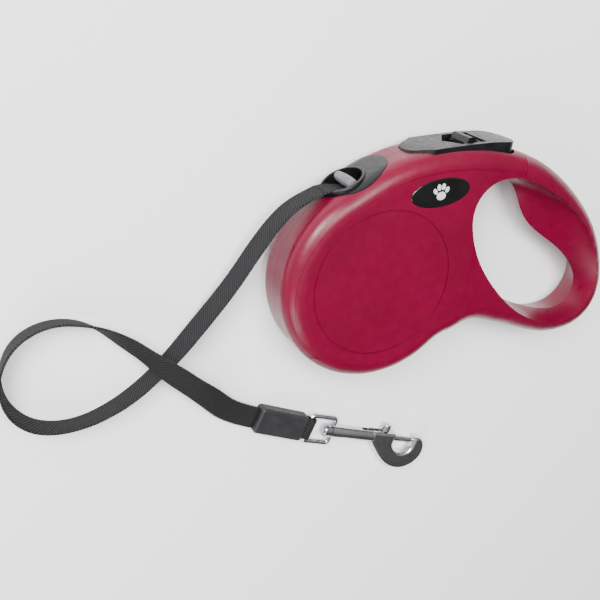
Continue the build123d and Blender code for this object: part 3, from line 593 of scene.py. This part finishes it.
# ---------------------------------------------------------------- badge and its paw print
# A flat oval of black acrylic, polished, glued into a recess of the front shell. A paw print is
# pad-printed on it in pale grey ink, one large pad and four toes.
badge_middle = Vector((0.0172, 0.0384, 0.0283))
badge_turn = radians(12.5)
ink_height = 0.00008
# each mark of the paw: its middle, its half width and half length, and its turn in degrees
paw_marks = [
    ((0.0, -0.0012), (0.0021, 0.0017), 0.0), ((-0.0027, 0.0010), (0.00085, 0.00125), 28.0),
    ((-0.0010, 0.0024), (0.00090, 0.00135), 8.0), ((0.0010, 0.0024), (0.00090, 0.00135), -8.0),
    ((0.0027, 0.0010), (0.00085, 0.00125), -28.0),
]
# the edge of the ink: share of the mark's size, and share of the ink's height
ink_edge = [(1.0, -0.5), (1.0, 0.4), (0.9, 1.0)]
rim_steps = 28
acrylic, acrylic_shader = new_material(
    "black_acrylic", Coat_Weight=0.5, Coat_Roughness=0.05,
)
acrylic_place = object_coordinate(acrylic)
two_tones(
    acrylic, acrylic_place, scale=120.0, dark=(0.001, 0.001, 0.0012),
    light=(0.003, 0.003, 0.0035), shader=acrylic_shader,
)
uneven_gloss(
    acrylic, acrylic_place, scale=500.0, detail=6.0, low=0.05, high=0.16, shader=acrylic_shader,
)
dress("badge", acrylic)


def turned(point, angle):
    """A point of a plane, turned about the plane's origin."""
    x, y = point
    return x * cos(angle) - y * sin(angle), x * sin(angle) + y * cos(angle)


paw = bmesh.new()
for (mark_x, mark_y), (half_x, half_y), turn in paw_marks:
    rings = []
    for share, level in ink_edge:
        ring = []
        for step in range(rim_steps):
            angle = 2 * pi * step / rim_steps
            x, y = turned((half_x * share * cos(angle), half_y * share * sin(angle)),
                          radians(turn))
            x, y = turned((mark_x + x, mark_y + y), badge_turn)
            ring.append(paw.verts.new(badge_middle + Vector((x, y, level * ink_height))))
        rings.append(ring)
    for lower, upper in zip(rings, rings[1:]):
        for k in range(rim_steps):
            n = (k + 1) % rim_steps
            paw.faces.new((lower[k], lower[n], upper[n], upper[k]))
    paw.faces.new(rings[-1])
    paw.faces.new(reversed(rings[0]))
bmesh.ops.recalc_face_normals(paw, faces=paw.faces)
paw_mesh = bpy.data.meshes.new("badge_paw")
paw.to_mesh(paw_mesh)
paw.free()
badge_paw = bpy.data.objects.new("badge_paw", paw_mesh)
scene.collection.objects.link(badge_paw)
ink, ink_shader = new_material("pale_ink")
ink_place = object_coordinate(ink)
two_tones(
    ink, ink_place, scale=1500.0, dark=(0.50, 0.50, 0.51), light=(0.60, 0.60, 0.61),
    shader=ink_shader,
)
uneven_gloss(
    ink, ink_place, scale=3000.0, detail=3.0, low=0.38, high=0.55, shader=ink_shader,
)
paw_mesh.materials.append(ink)
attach(badge_paw, "housing")


# ---------------------------------------------------------------- mouth and brake
# Black nylon mouldings: the insert with the polished bowl that the tape leaves by, the thumb
# button with its lock slider, and the pawl below them.
nylon, nylon_shader = new_material("black_nylon", Specular_IOR_Level=0.35)
nylon_place = object_coordinate(nylon)
two_tones(
    nylon, nylon_place, scale=150.0, dark=(0.002, 0.002, 0.0024), light=(0.006, 0.006, 0.007),
    shader=nylon_shader,
)
uneven_gloss(
    nylon, nylon_place, scale=420.0, detail=5.0, low=0.30, high=0.46, shader=nylon_shader,
)
fine_skin(
    nylon, nylon_place, scale=3600.0, strength=0.18, distance=0.00008, shader=nylon_shader,
)
for name in ("mouth_insert", "brake_button", "lock_slider", "brake_pawl"):
    dress(name, nylon)


# ---------------------------------------------------------------- roller and spool
# Grey acetal mouldings that turn: the roller behind the lip of the mouth, and the spool with
# the cover that closes its mainspring in.
acetal, acetal_shader = new_material("grey_acetal")
acetal_place = object_coordinate(acetal)
two_tones(
    acetal, acetal_place, scale=200.0, dark=(0.09, 0.09, 0.10), light=(0.13, 0.13, 0.14),
    shader=acetal_shader,
)
uneven_gloss(
    acetal, acetal_place, scale=900.0, detail=4.0, low=0.25, high=0.4, shader=acetal_shader,
)
fine_skin(
    acetal, acetal_place, scale=3000.0, strength=0.12, distance=0.00006, shader=acetal_shader,
)
for name in ("guide_roller", "spool", "spring_cover"):
    dress(name, acetal)


# ---------------------------------------------------------------- tape inside the housing
# The rest of the tape is wound on the drum, layer on layer, and its last stretch runs straight
# from the winding over the roller to the lip of the mouth.
tape_middle = 0.014
inner_thickness = 0.00095
inner_points = [Vector(p) for p in (
    (0.0, 0.03405, tape_middle), (-0.008, 0.03405, tape_middle), (-0.016, 0.03405, tape_middle),
    (-0.0235, 0.03405, tape_middle), (-0.0252, 0.03390, tape_middle),
    (-0.0270, 0.03350, tape_middle), (-0.0286, 0.0330, tape_middle),
)]
inner_facing = [Vector((0.0, 1.0, 0.0))] * len(inner_points)
inner_tape = ribbon("tape_to_mouth", inner_points, inner_facing, tape_width, inner_thickness)
inner_tape.data.materials.append(webbing)
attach(inner_tape, "housing")
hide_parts("tape_inside")

wound_width = 0.0098
wound_thickness = 0.00092
first_layer = 0.0176
layer_pitch = 0.00101
turns = 15.5
turn_steps = 48
wound_points = []
wound_facing = []
for step in range(int(turns * turn_steps) + 1):
    angle = 2 * pi * step / turn_steps
    out = Vector((cos(angle), sin(angle), 0.0))
    radius = first_layer + layer_pitch * step / turn_steps
    wound_points.append(out * radius + Vector((0.0, 0.0, tape_middle)))
    wound_facing.append(out)
wound = ribbon("tape_winding", wound_points, wound_facing, wound_width, wound_thickness)
wound.data.materials.append(webbing)
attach(wound, "spool_body")
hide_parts("wound_tape")
